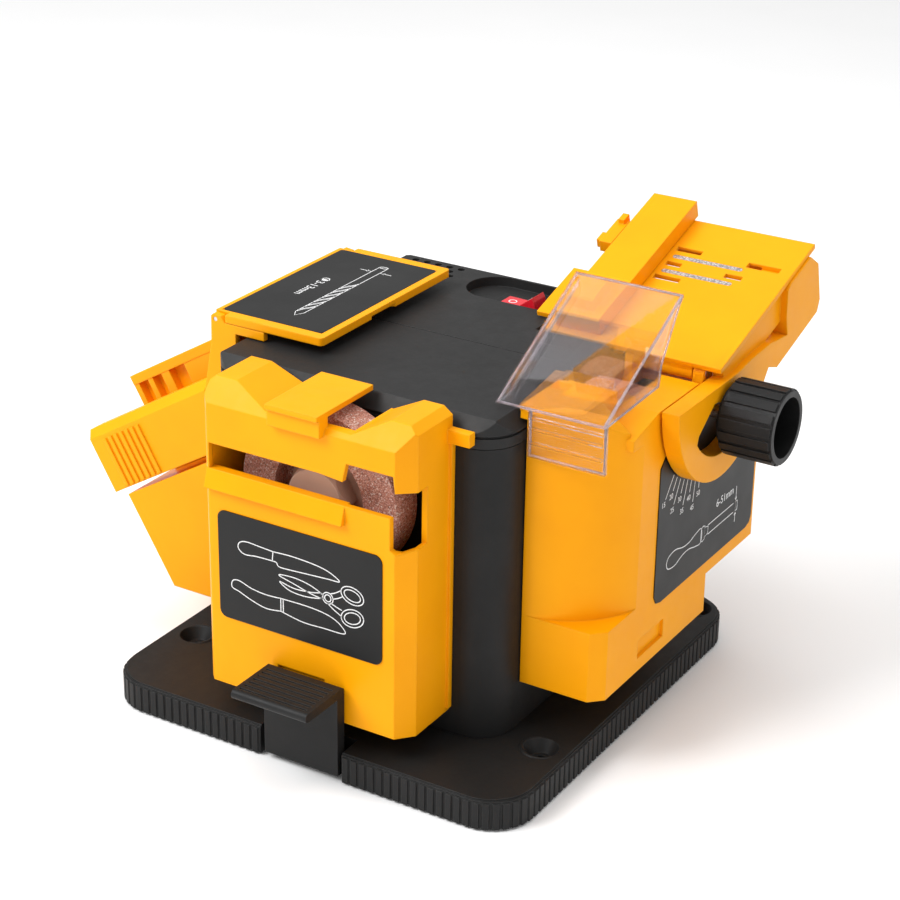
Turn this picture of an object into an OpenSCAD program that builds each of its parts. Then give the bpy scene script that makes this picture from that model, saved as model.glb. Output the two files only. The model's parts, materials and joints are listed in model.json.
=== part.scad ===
// Three-station electric sharpener: a black drive housing on a square base, with a knife and
// scissors station on the front, a chisel station on the right and a drill station on the left.
// Millimetres, +Z up. The origin is on the floor under the vertical motor axis; -Y is the front.

/* [Base] */
// Width of the base plate, left to right
base_w = 200; // [190:1:220]
// Depth of the base plate, front to back
base_d = 204; // [200:1:220]
// Height of the top of the base plate above the floor
base_top = 14.2; // [12:0.1:15]
// Corner radius of the base plate
base_r = 19; // [14:1:26]

/* [Housing] */
// Width of the drive housing
house_w = 140; // [138:1:141]
// Corner radius of the drive housing
house_r = 16; // [12:1:20]
// Height of the top of the cover above the floor
cover_top = 155; // [154.5:0.1:155.2]
// Wall thickness of the moulded housings
wall = 2.6; // [2:0.1:3]

/* [Wheels] */
// Radius of the knife and chisel wheels
wheel_r = 36.4; // [32:0.1:36.6]
// Radius of the drill wheel
drill_wheel_r = 30; // [26:0.5:31]
// Height of the three wheel axes above the floor
axis_z = 116.5; // [116:0.1:117]
// Thickness of the knife and chisel wheels
wheel_t = 15; // [12:0.5:15]

/* [Chisel table] */
// Table angle as drawn, read on the angle scale
tilt = 17; // [15:1:50]
// Length of the sloping table plate
table_len = 94; // [80:1:96]
// Height of the fence bar above the table plate
fence_h = 8; // [5:0.5:10]
// Radius of the clamping knob
knob_r = 16.2; // [14:0.1:17]

/* [Drill station] */
// Angle of the drill rest above the horizontal, 90 degrees less half the point angle
drill_tilt = 31; // [28:1:34]

/* [Hidden] */
$fn = 64;
eps = 0.01;
gap = 0.3;
foot_h = 1;
fit = 0.05;

house_x = house_w / 2;
house_y0 = -64;
house_y1 = 86;
house_z0 = base_top + 0.2;
seam_z = 143;

motor_r = 28;
motor_z0 = 24;
motor_z1 = 84;
gear_n = 36;
pinion_n = gear_n / 2;
pinion_r = 11.25;
gear_r = 2 * pinion_r;
tooth_w = 1.2;
tooth_h = 0.95;
face_w = 4;
crown_top = axis_z - pinion_r + tooth_h - 0.2;
shaft_r = 4;
bush_r = 8;

knife_x0 = -48;
knife_x1 = 49;
knife_y = -96;
knife_z0 = 25;
knife_z1 = 159;
knife_flat_x = 43;
recess_w = 23;

chisel_x0 = 70.5;
chisel_x1 = 107;
chisel_y0 = -44;
chisel_y1 = 98;
chisel_z0 = 35;
chisel_z1 = 141.5;
chisel_front_z = 156;
chisel_round = 38;
chisel_round_x = 70;
foot_y1 = 52;
foot_z1 = 66;
over_z = 53;

pivot_y = 41;
pivot_z = 150;
pin_r = 2.5;
plate_top = 6.4;
plate_t = 2.2;
plate_y0 = -3.7;
plate_x1 = 115;
fence_x0 = 37;
fence_x1 = 58;
cheek_x0 = 108.2;
cheek_x1 = 115.9;
tongue_r = 44;
window_r0 = 10.5;
window_r1 = 33;
stud_y = 44;
stud_z = 132.8;
knob_x0 = 116.3;
knob_x1 = 142;

drill_y0 = -42;
drill_y1 = 58;
drill_z0 = 27;
lid_top = 163;
lid_t = 3.4;
lid_x0 = -83;
lid_x1 = -27;
arm_x = -88.5;
arm_z = 113;
arm_len = 68;
arm_half = 15;

pedal_x = 1.5;
pedal_w = 37;
tread_z = 42.6;
pedal_pin_y = -94;
pedal_pin_z = 7;

yellow = [0.98, 0.72, 0.06];
black = [0.13, 0.13, 0.14];
cover_grey = [0.2, 0.2, 0.21];
steel = [0.72, 0.73, 0.75];
brass = [0.8, 0.62, 0.3];
abrasive = [0.66, 0.42, 0.36];
hub_beige = [0.78, 0.66, 0.58];
red = [0.82, 0.09, 0.11];
clear = [0.9, 0.86, 0.92, 0.4];
copper = [0.75, 0.42, 0.25];
film = [0.15, 0.15, 0.16];

// ---------- helpers ----------

module box(x0, x1, y0, y1, z0, z1)
  translate([x0, y0, z0]) cube([x1 - x0, y1 - y0, z1 - z0]);

// Upright block with round vertical corners.
module slab(x0, x1, y0, y1, z0, z1, r) {
  box(x0 + r, x1 - r, y0, y1, z0, z1);
  box(x0, x1, y0 + r, y1 - r, z0, z1);
  for (x = [x0 + r, x1 - r])
    for (y = [y0 + r, y1 - r])
      translate([x, y, z0]) cylinder(h = z1 - z0, r = r);
}

module rod_x(x0, x1, y, z, r)
  translate([x0, y, z]) rotate([0, 90, 0]) cylinder(h = x1 - x0, r = r);

module rod_y(y0, y1, x, z, r)
  translate([x, y1, z]) rotate([90, 0, 0]) cylinder(h = y1 - y0, r = r);

module rod_z(z0, z1, x, y, r)
  translate([x, y, z0]) cylinder(h = z1 - z0, r = r);

// A (y, z) outline carried along X.
module prism_x(x0, x1, pts)
  translate([x0, 0, 0]) rotate([90, 0, 90]) linear_extrude(x1 - x0) polygon(pts);

// An (x, z) outline carried along Y.
module prism_y(y0, y1, pts)
  translate([0, y1, 0]) rotate([90, 0, 0]) linear_extrude(y1 - y0) polygon(pts);

// Ring on the Z axis.
module ring(r_out, r_in, h)
  difference() {
    cylinder(h = h, r = r_out);
    translate([0, 0, -1]) cylinder(h = h + 2, r = r_in);
  }

// Places a piece drawn along +Z on one of the three output axes, pointing outward.
module on_front() translate([0, 0, axis_z]) rotate([90, 0, 0]) children();
module on_right() translate([0, 0, axis_z]) rotate([0, 90, 0]) children();
module on_left() translate([0, 0, axis_z]) rotate([0, -90, 0]) children();

// Places a piece drawn in table coordinates: X across, Y up the slope, Z off the table.
module on_table() translate([0, pivot_y, pivot_z]) rotate([tilt, 0, 0]) children();

// Places a piece drawn along the drill rest: X toward the wheel, Y to the back, Z off the rest.
module on_rest() translate([arm_x, 0, arm_z]) rotate([0, -drill_tilt, 0]) children();

// ---------- base ----------

rib_pitch = 4.05;
rib_depth = 0.7;
rim_top = base_top - 1.6;

// Point of a round-cornered rectangle's edge, s millimetres round it, pushed out by o.
function edge_pt(hx, hy, r, s, o) =
  let (a = 2 * (hx - r), b = 2 * (hy - r), q = r * PI / 2, p = 2 * (a + b) + 4 * q,
       t = s % p,
       s1 = a, s2 = a + q, s3 = a + q + b, s4 = a + 2 * q + b,
       s5 = 2 * a + 2 * q + b, s6 = 2 * a + 3 * q + b, s7 = 2 * a + 3 * q + 2 * b)
  t < s1 ? [-hx + r + t, -hy - o] :
  t < s2 ? [hx - r, -hy + r] + (r + o) * [sin((t - s1) / r * 180 / PI), -cos((t - s1) / r * 180 / PI)] :
  t < s3 ? [hx + o, -hy + r + t - s2] :
  t < s4 ? [hx - r, hy - r] + (r + o) * [cos((t - s3) / r * 180 / PI), sin((t - s3) / r * 180 / PI)] :
  t < s5 ? [hx - r - (t - s4), hy + o] :
  t < s6 ? [-hx + r, hy - r] + (r + o) * [-sin((t - s5) / r * 180 / PI), cos((t - s5) / r * 180 / PI)] :
  t < s7 ? [-hx - o, hy - r - (t - s6)] :
  [-hx + r, -hy + r] + (r + o) * [-cos((t - s7) / r * 180 / PI), -sin((t - s7) / r * 180 / PI)];

// Fluted outline of the rim: narrow grooves between wide lands.
module rim_outline() {
  hx = base_w / 2 - rib_depth;
  hy = base_d / 2 - rib_depth;
  p = 4 * (hx + hy - 2 * base_r) + 2 * PI * base_r;
  n = floor(p / rib_pitch);
  step = p / n;
  polygon([for (i = [0 : n - 1]) each [
    edge_pt(hx, hy, base_r, i * step, 0),
    edge_pt(hx, hy, base_r, (i + 0.2) * step, 0),
    edge_pt(hx, hy, base_r, (i + 0.3) * step, rib_depth),
    edge_pt(hx, hy, base_r, (i + 0.9) * step, rib_depth)
  ]]);
}

screw_x = 87;
screw_y0 = -54;
screw_y1 = 88;
screw_hole_r = 2.3;
base_floor = 4;
base_wall = 3;
notch_half = 20;
notch_y = -89.5;

module base_plate()
  color(black)
    difference() {
      union() {
        translate([0, 0, foot_h]) linear_extrude(rim_top - foot_h) rim_outline();
        slab(-base_w / 2 + 0.7, base_w / 2 - 0.7, -base_d / 2 + 0.7, base_d / 2 - 0.7,
             foot_h, rim_top + 0.8, base_r);
        slab(-base_w / 2 + 1.4, base_w / 2 - 1.4, -base_d / 2 + 1.4, base_d / 2 - 1.4,
             foot_h, base_top, base_r);
      }
      // Hollow underside, in four pockets round the centre and the screw posts.
      for (sx = [-1, 1])
        for (sy = [-1, 1])
          box(min(sx * 24, sx * 74), max(sx * 24, sx * 74), min(sy * 8, sy * 86),
              max(sy * 8, sy * 86), -1, base_top - base_floor);
      // Notch for the pedal, with its hinge slot.
      box(pedal_x - notch_half, pedal_x + notch_half, -base_d / 2 - 2, notch_y, -1, base_top + 2);
      rod_x(pedal_x - notch_half - 9, pedal_x + notch_half + 9, pedal_pin_y, pedal_pin_z, 2);
      // Dished screw holes.
      for (x = [-screw_x, screw_x])
        for (y = [screw_y0, screw_y1]) {
          rod_z(-1, base_top + 1, x, y, screw_hole_r);
          translate([x, y, base_top - 5]) cylinder(h = 5 + eps, r1 = 4.4, r2 = 7.5);
        }
      // Centre hole for the pivot screw, with the space for its head.
      rod_z(-1, base_top + 1, 0, 0, 4.1);
      rod_z(-1, 7, 0, 0, 9);
      // Seats of the rubber feet.
      for (x = [-screw_x, screw_x])
        for (y = [-82, 66])
          rod_z(-1, 3, x, y, 7);
    }

module rubber_feet()
  color(black)
    for (x = [-screw_x, screw_x])
      for (y = [-82, 66])
        rod_z(0, 3, x, y, 6.9);

module pivot_screw()
  color(steel) {
    rod_z(3, 7, 0, 0, 7);
    rod_z(3, house_z0 + wall + 5, 0, 0, 4);
  }

// ---------- pedal ----------

stem_t = 5;
tread_d = 22;
tread_t = 4.2;
stem_y = -base_d / 2;

module pedal()
  color(black)
    difference() {
      union() {
        // Stem standing in the notch of the base.
        box(pedal_x - pedal_w / 2 + 1, pedal_x + pedal_w / 2, stem_y, stem_y + stem_t, 3, tread_z - 1);
        // Tread reaching forward from the head of the stem.
        box(pedal_x - pedal_w / 2 + 1, pedal_x + pedal_w / 2, stem_y - tread_d + 2, stem_y + stem_t - 2,
            tread_z - tread_t, tread_z);
        rod_x(pedal_x - pedal_w / 2 + 1, pedal_x + pedal_w / 2, stem_y - tread_d + 2, tread_z - 2.1, 2.1);
        rod_x(pedal_x - pedal_w / 2 + 1, pedal_x + pedal_w / 2, stem_y + stem_t - 2, tread_z - 2, 2);
        // Tooth that drops into the recess of the station above.
        box(pedal_x - 9, pedal_x + 6, stem_y + stem_t - eps, knife_y + 1.6, 33, 38);
        // Two knuckles round the pin.
        for (x = [pedal_x - 16, pedal_x + 8]) {
          rod_x(x, x + 8, pedal_pin_y, pedal_pin_z, 3.4);
          box(x, x + 8, stem_y + stem_t - 1, pedal_pin_y, pedal_pin_z - 3, pedal_pin_z + 3);
        }
      }
      // Grip grooves along the tread.
      for (i = [0 : 6])
        box(pedal_x - pedal_w / 2 + 3, pedal_x + pedal_w / 2 - 2, stem_y - tread_d + 3 + 3 * i,
            stem_y - tread_d + 4 + 3 * i, tread_z - 0.7, tread_z + 1);
      rod_x(pedal_x - 30, pedal_x + 30, pedal_pin_y, pedal_pin_z, 2 + fit);
      // Pocket that clears the spring.
      box(pedal_x - 5, pedal_x + 5, stem_y + stem_t - 1, stem_y + stem_t + 1, 2, 12);
    }

module pedal_pin()
  color(steel)
    rod_x(pedal_x - notch_half - 8.5, pedal_x + notch_half + 8.5, pedal_pin_y, pedal_pin_z, 2);

wire_r = 0.55;
coil_r = 2.7;
leg_r = 0.45;

module pedal_spring()
  color(steel) {
    for (i = [0 : 5])
      translate([pedal_x - 3 + i * 1.05, pedal_pin_y, pedal_pin_z]) rotate([0, 90, 0])
        rotate_extrude() translate([coil_r, 0]) circle(r = wire_r, $fn = 24);
    // One leg rests on the back wall of the notch, the other behind the stem.
    rod_z(pedal_pin_z, base_top - 2, pedal_x - 3, pedal_pin_y + coil_r, leg_r);
    rod_z(pedal_pin_z + 1.4, 22, pedal_x + 2.25, pedal_pin_y - coil_r + 0.5, leg_r);
  }

// ---------- housing ----------

cover_post_x = [-56, 56];
cover_post_y = [-50, 72];
post_top = 135;

module lower_housing()
  color(black)
    difference() {
      union() {
        difference() {
          slab(-house_x, house_x, house_y0, house_y1, house_z0, seam_z, house_r);
          slab(-house_x + wall, house_x - wall, house_y0 + wall, house_y1 - wall,
               house_z0 + wall, seam_z + 1, house_r - wall);
        }
        // Boss round the pivot screw, which also carries the motor.
        rod_z(house_z0, motor_z0 - 2, 0, 0, 15);
        // Posts that carry the cover.
        for (x = cover_post_x)
          for (y = cover_post_y)
            rod_z(house_z0, post_top, x, y, 5);
      }
      rod_z(0, 40, 0, 0, 4.1);
      for (x = cover_post_x)
        for (y = cover_post_y) {
          rod_z(house_z0 - 1, post_top - 18, x, y, 3.6);
          rod_z(house_z0, post_top + 1, x, y, 1.75);
        }
      // Ports of the three output shafts.
      on_front() cylinder(h = 80, r = bush_r);
      on_right() cylinder(h = 80, r = bush_r);
      on_left() cylinder(h = 80, r = bush_r);
      // Cable port and a row of air slots in the back wall.
      rod_y(house_y1 - 10, house_y1 + 10, -40, 40, 6);
      for (i = [0 : 8])
        box(-6 + 6 * i, -3 + 6 * i, house_y1 - 10, house_y1 + 1, 32, 58);
    }

cover_z0 = seam_z + gap;
cover_edge = 5;
switch_x = 8.5;
switch_y = 63;
switch_z = 150.5;

module cover_blank()
  intersection() {
    slab(-house_x, house_x, house_y0, house_y1, cover_z0, cover_top, house_r);
    prism_x(-house_x, house_x, [
      [house_y0, cover_z0], [house_y1, cover_z0], [house_y1, cover_top - 2],
      [house_y1 - 3, cover_top], [house_y0 + cover_edge, cover_top], [house_y0, cover_top - 6]]);
    prism_y(house_y0, house_y1, [
      [-house_x, cover_z0], [house_x, cover_z0], [house_x, cover_top - 6],
      [house_x - cover_edge, cover_top], [-house_x + cover_edge, cover_top],
      [-house_x, cover_top - 6]]);
  }

module top_cover()
  color(cover_grey)
    difference() {
      union() {
        difference() {
          cover_blank();
          slab(-house_x + wall, house_x - wall, house_y0 + wall, house_y1 - wall,
               cover_z0 - 1, cover_top - 8, house_r - wall);
        }
        for (x = cover_post_x)
          for (y = cover_post_y)
            rod_z(post_top + gap, cover_top - 7, x, y, 5);
      }
      for (x = cover_post_x)
        for (y = cover_post_y)
          rod_z(post_top, post_top + 13, x, y, 1.75);
      // Room for the lower edge of the tilting table.
      box(30, house_x + 1, 33.5, 46, pivot_z - 0.6, cover_top + 1);
      // Shadow groove under the sloping edge.
      difference() {
        box(-house_x - 1, house_x + 1, house_y0 - 1, house_y1 + 1, cover_top - 7.6, cover_top - 6.4);
        slab(-house_x + 1, house_x - 1, house_y0 + 1, house_y1 - 1, cover_top - 8, cover_top - 6,
             house_r - 1);
      }
      // Fine step across the top.
      box(-house_x, house_x, 6.4, 7.2, cover_top - 0.5, cover_top + 1);
      // Oval dish round the switch.
      slab(switch_x - 31, switch_x + 22, switch_y - 9, switch_y + 19, switch_z, cover_top + 1, 13.9);
      box(switch_x - 13, switch_x + 13, switch_y - 7, switch_y + 7, cover_z0 - 1, cover_top);
      // Grid of air holes at the back left.
      for (i = [0 : 4])
        for (j = [0 : 3])
          rod_z(cover_z0, cover_top + 1, -61 + 6 * i + 3 * (j % 2), 64 + 5 * j, 1.7);
    }

module cover_screws()
  color(steel)
    for (x = cover_post_x)
      for (y = cover_post_y) {
        rod_z(post_top - 21, post_top - 18, x, y, 3.4);
        rod_z(post_top - 18, post_top + 11, x, y, 1.7);
      }

module switch_frame()
  color(black)
    difference() {
      union() {
        box(switch_x - 12.9, switch_x + 12.9, switch_y - 6.9, switch_y + 6.9, 128, switch_z);
        box(switch_x - 14.5, switch_x + 14.5, switch_y - 8.4, switch_y + 8.4, switch_z, switch_z + 1.4);
      }
      box(switch_x - 11.3, switch_x + 11.3, switch_y - 5.4, switch_y + 5.4, 136, switch_z + 3);
      rod_y(switch_y - 6.4, switch_y + 6.4, switch_x, switch_z - 3, 1.5);
    }

rocker_tilt = 18;

// Rocker with its right end up.
module switch_rocker()
  color(red)
    translate([switch_x, 0, switch_z - 3]) rotate([0, -rocker_tilt, 0]) union() {
      prism_y(switch_y - 5, switch_y + 5, [
        [-8.6, -2], [8.6, -2], [9, 6], [8.6, 8], [0, 5], [-8.6, 8], [-9, 6]]);
      rod_y(switch_y - 6.35, switch_y + 6.35, 0, 0, 1.45);
    }

module cable_gland()
  color(black)
    difference() {
      union() {
        rod_y(house_y1 - 7, house_y1 + 9, -40, 40, 5.9);
        rod_y(house_y1, house_y1 + 3, -40, 40, 9);
        for (i = [0 : 2])
          rod_y(house_y1 + 3.6 + 1.9 * i, house_y1 + 4.8 + 1.9 * i, -40, 40, 6.7);
      }
      rod_y(house_y1 - 9, house_y1 + 11, -40, 40, 3.4);
    }

// ---------- motor and gearing ----------

bell_screw_r = 22.5;

module motor_can()
  color(steel)
    translate([0, 0, motor_z0]) ring(motor_r, motor_r - 1.6, motor_z1 - motor_z0);

module motor_bells()
  color(cover_grey)
    difference() {
      union() {
        rod_z(motor_z0 - 2, motor_z0 + 4, 0, 0, motor_r - 1.6 - fit);
        rod_z(motor_z1 - 4, motor_z1 + 2, 0, 0, motor_r - 1.6 - fit);
        rod_z(motor_z1, motor_z1 + 6, 0, 0, 9);
      }
      rod_z(motor_z0 - 3, motor_z1 + 8, 0, 0, 3 + fit);
      for (a = [0 : 60 : 300])
        rotate([0, 0, a]) translate([17, 0, motor_z1 - 10]) cylinder(h = 20, r = 3.6);
      for (a = [45 : 90 : 315])
        rotate([0, 0, a]) rod_z(motor_z1 - 5, motor_z1 + 9, bell_screw_r, 0, 1.6);
    }

module motor_stator()
  color(copper)
    translate([0, 0, 44]) ring(motor_r - 1.6 - fit, 14, 30);

module motor_screws()
  color(steel)
    for (a = [45 : 90 : 315])
      rotate([0, 0, a]) {
        rod_z(motor_z1 - 3, motor_z1 + 5, bell_screw_r, 0, 1.5);
        rod_z(motor_z1 + 5, motor_z1 + 7.2, bell_screw_r, 0, 2.9);
      }

module motor_rotor()
  color(steel)
    translate([0, 0, 44]) ring(13.4, 3, 30);

module motor_shaft()
  color(steel)
    rod_z(motor_z0 - 1.5, crown_top + 3, 0, 0, 3);

module motor_fan()
  color(black)
    union() {
      translate([0, 0, motor_z0 + 6]) ring(8, 3, 8);
      for (a = [0 : 30 : 330])
        rotate([0, 0, a]) box(7.5, 23, -0.7, 0.7, motor_z0 + 6, motor_z0 + 14);
      translate([0, 0, motor_z0 + 6]) ring(23, 7.5, 1.2);
    }

// Gear on the motor shaft, with upright teeth round its rim.
module crown_gear()
  color(brass)
    union() {
      translate([0, 0, crown_top - 8]) ring(gear_r + 3, 3, 8 - 2.3);
      translate([0, 0, crown_top - 14]) ring(7, 3, 8);
      for (i = [0 : gear_n - 1])
        rotate([0, 0, i * 360 / gear_n])
          box(gear_r - face_w / 2, gear_r + face_w / 2, -tooth_w / 2, tooth_w / 2,
              crown_top - 2.4, crown_top);
    }

bracket_x = 34;

// Frame that carries the inner bush of each output shaft.
module gearbox_bracket()
  color(cover_grey)
    difference() {
      union() {
        box(-40, 40, -40, 40, motor_z1 + 2, motor_z1 + 5);
        box(bracket_x, bracket_x + 6, -14, 14, motor_z1 + 2, axis_z + 12);
        box(-bracket_x - 6, -bracket_x, -14, 14, motor_z1 + 2, axis_z + 12);
        box(-14, 14, -bracket_x - 6, -bracket_x, motor_z1 + 2, axis_z + 12);
        for (x = [-38, 38])
          for (y = [-38, 38])
            rod_z(house_z0 + wall, motor_z1 + 5, x, y, 4);
      }
      rod_z(motor_z1, motor_z1 + 10, 0, 0, 9.5);
      for (a = [45 : 90 : 315])
        rotate([0, 0, a]) rod_z(motor_z1, motor_z1 + 10, bell_screw_r, 0, 1.6);
      on_front() cylinder(h = 60, r = bush_r);
      on_right() cylinder(h = 60, r = bush_r);
      on_left() cylinder(h = 60, r = bush_r);
    }

module bush(d)
  difference() {
    translate([0, 0, d]) cylinder(h = 6, r = bush_r);
    cylinder(h = 90, r = shaft_r + fit);
  }

wall_bush = house_x - 6;
front_bush = -house_y0 - 6;

module shaft_bushes()
  color(brass) {
    on_front() bush(bracket_x);
    on_right() bush(bracket_x);
    on_left() bush(bracket_x);
    on_front() bush(front_bush);
    on_right() bush(wall_bush);
    on_left() bush(wall_bush);
  }

module run_capacitor()
  color(hub_beige)
    union() {
      slab(-16, 16, 54, 70, house_z0 + wall, 60, 4);
      for (x = [-6, 6])
        rod_z(60, 66, x, 62, 1);
    }

// ---------- output shafts ----------

pinion_in = gear_r - 3;
front_seat = 69.6;
side_seat = 73.4;
left_seat = 72.5;
drill_wheel_t = 7;
hub_r = 17;
nut_h = 9;

module output_shaft(end)
  translate([0, 0, pinion_in]) cylinder(h = end - pinion_in, r = shaft_r);

function turned(p, a) = [p[0] * cos(a) - p[1] * sin(a), p[0] * sin(a) + p[1] * cos(a)];

// Pinion whose teeth straddle its straight-down line, which lies at the angle given.
module pinion(down) {
  step = 360 / pinion_n;
  root = pinion_r - tooth_h;
  tip = pinion_r + tooth_h;
  translate([0, 0, pinion_in]) linear_extrude(6) difference() {
    polygon([for (i = [0 : pinion_n - 1]) each [
      turned([root, -tooth_w / 2], down + (i + 0.5) * step),
      turned([tip, -tooth_w / 2], down + (i + 0.5) * step),
      turned([tip, tooth_w / 2], down + (i + 0.5) * step),
      turned([root, tooth_w / 2], down + (i + 0.5) * step),
      turned([root, 0], down + (i + 1) * step)
    ]]);
    circle(r = shaft_r);
  }
}

// Grinding wheel with a wide recess in its outer face.
module stone(seat, r, t, recess)
  translate([0, 0, seat])
    difference() {
      cylinder(h = t, r = r);
      translate([0, 0, -1]) cylinder(h = t + 2, r = shaft_r + 6);
      translate([0, 0, t - recess]) cylinder(h = recess + 1, r = 21);
    }

module flange(seat, t, recess)
  difference() {
    union() {
      translate([0, 0, seat - 1.6]) cylinder(h = 1.6, r = hub_r);
      translate([0, 0, seat]) cylinder(h = t - recess, r = shaft_r + 6 - fit);
      translate([0, 0, seat + t - recess]) cylinder(h = 2, r = hub_r);
    }
    cylinder(h = 110, r = shaft_r);
  }

module hex_cap(z, h)
  difference() {
    translate([0, 0, z])
      intersection() {
        cylinder(h = h, r = 14.6, $fn = 6);
        cylinder(h = h, r1 = 18, r2 = 12.2);
      }
    translate([0, 0, z - 1]) cylinder(h = h - 2, r = shaft_r);
  }

wheel_recess = 8;
drill_recess = 3;
front_nut = front_seat + wheel_t - wheel_recess + 2;
side_nut = side_seat + wheel_t - wheel_recess + 2;
left_nut = left_seat + drill_wheel_t - drill_recess + 2;

module knife_shaft() color(steel) on_front() output_shaft(front_nut + nut_h - 4);
module knife_pinion() color(brass) on_front() pinion(-90);
module knife_wheel() color(abrasive) on_front() stone(front_seat, wheel_r, wheel_t, wheel_recess);
module knife_flange() color(hub_beige) on_front() flange(front_seat, wheel_t, wheel_recess);
module knife_nut() color(hub_beige) on_front() hex_cap(front_nut, nut_h);

module chisel_shaft() color(steel) on_right() output_shaft(side_nut + nut_h - 4);
module chisel_pinion() color(brass) on_right() pinion(0);
module chisel_wheel() color(abrasive) on_right() stone(side_seat, wheel_r, wheel_t, wheel_recess);
module chisel_flange() color(hub_beige) on_right() flange(side_seat, wheel_t, wheel_recess);
module chisel_nut() color(hub_beige) on_right() hex_cap(side_nut, nut_h);

drill_nut_h = 5;
module drill_shaft() color(steel) on_left() output_shaft(left_nut + 1.8);
module drill_pinion() color(brass) on_left() pinion(180);
module drill_wheel()
  color(abrasive) on_left() stone(left_seat, drill_wheel_r, drill_wheel_t, drill_recess);
module drill_flange() color(hub_beige) on_left() flange(left_seat, drill_wheel_t, drill_recess);
module drill_nut() color(hub_beige) on_left() hex_cap(left_nut, drill_nut_h);

// ---------- knife and scissors station ----------

knife_back = house_y0 - 0.3;
slot_z0 = 122;
slot_z1 = 132;

// Front view of the station: two raised shoulders with a dip between them.
knife_profile = [
  [knife_x0, knife_z0], [knife_x1, knife_z0], [knife_x1, knife_z1 - 3], [knife_x1 - 4, knife_z1],
  [36, knife_z1], [22, 152], [-18, 152], [-36, knife_z1], [knife_x0 + 2, knife_z1],
  [knife_x0, knife_z1 - 2]];
knife_inner = [
  [knife_x0 + wall, knife_z0 + wall], [knife_x1 - wall, knife_z0 + wall],
  [knife_x1 - wall, knife_z1 - 5], [37, knife_z1 - wall - 1], [22.5, 149], [-18.5, 149],
  [-37, knife_z1 - wall - 1], [knife_x0 + wall, knife_z1 - wall - 1]];

module knife_body()
  color(yellow)
    difference() {
      union() {
        difference() {
          intersection() {
            prism_y(knife_y, knife_back, knife_profile);
            linear_extrude(200) polygon([
              [knife_x0, knife_back], [knife_x0, knife_y + 2.5], [knife_x0 + 2.5, knife_y],
              [knife_flat_x, knife_y], [knife_x1, knife_y + 7], [knife_x1, knife_back]]);
            prism_x(knife_x0, knife_x1, [
              [knife_y, knife_z0], [knife_back, knife_z0], [knife_back, knife_z1],
              [knife_y + 8, knife_z1], [knife_y, 150]]);
          }
          intersection() {
            prism_y(knife_y + wall, knife_back + 1, knife_inner);
            linear_extrude(200) polygon([
              [knife_x0, knife_y + wall], [knife_flat_x - 1.2, knife_y + wall],
              [knife_x1 - wall, knife_y + 9.3], [knife_x1 - wall, knife_back + 1],
              [knife_x0, knife_back + 1]]);
            prism_x(knife_x0, knife_x1, [
              [knife_y + wall, knife_z0], [knife_y + wall, 149], [knife_y + 8.3, knife_z1 - 3.6],
              [knife_back + 1, knife_z1 - 3.6], [knife_back + 1, knife_z0]]);
          }
          // Well over the wheel.
          box(-18.5, 21, knife_y + 6, knife_back + 1, 145, 170);
        }
        // Cover tab over the middle of the wheel.
        box(-14, 10.5, knife_y - 4.5, knife_back + 3, 156.2, 158.4);
        box(-14, 10.5, knife_y - 3, knife_y + 3, 149, 157);
        // Lip under the slot.
        prism_x(knife_x0 + 2, 20, [
          [knife_y + 1, slot_z0 - 8.5], [knife_y - 2.6, slot_z0 - 8], [knife_y, slot_z0],
          [knife_y + 4, slot_z0], [knife_y + 4, slot_z0 - 8.5]]);
        // Side ear over the corner of the housing.
        box(knife_x1 - 2, 59, knife_back - 4, knife_back, 145.5, 151);
        // Back edge strip.
        box(knife_x1 - wall, knife_x1 + 1.4, knife_back - 2.4, knife_back, knife_z0 + 2, 146);
      }
      // Slot across the front: a step up behind the pointed tooth, a drop at the right corner.
      prism_y(knife_y - 5, knife_y + 14, [
        [-44.8, slot_z0], [40.8, slot_z0], [40.8, 108.5], [43.5, 106.8], [52, 109],
        [52, slot_z1], [43, slot_z1 + 1], [42.2, 140], [20.8, 140], [19, slot_z1],
        [8, slot_z1 + 1], [-44.8, slot_z1 + 1]]);
      // Catch recess low on the front.
      box(-recess_w / 2 - 1.5, recess_w / 2 - 1.5, knife_y - 1, knife_y + 2, 31, 42);
    }

module knife_label()
  color(film)
    translate([0, knife_y, 0]) rotate([90, 0, 0])
      slab(-41, 37.5, 56.8, 105, 0, 0.5, 3.5);

// ---------- chisel station ----------

module chisel_plan(z0, z1)
  intersection() {
    box(chisel_x0, chisel_x1, chisel_y0, foot_y1, z0, z1);
    union() {
      rod_z(z0, z1, chisel_round_x, chisel_y0 + chisel_round, chisel_round);
      box(chisel_x0, chisel_x1, chisel_y0 + chisel_round, foot_y1, z0, z1);
    }
  }

block_y1 = -10;
strip_x = 89.8;
strip_top = 148.2;
well_r = wheel_r + 1.1;

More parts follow.
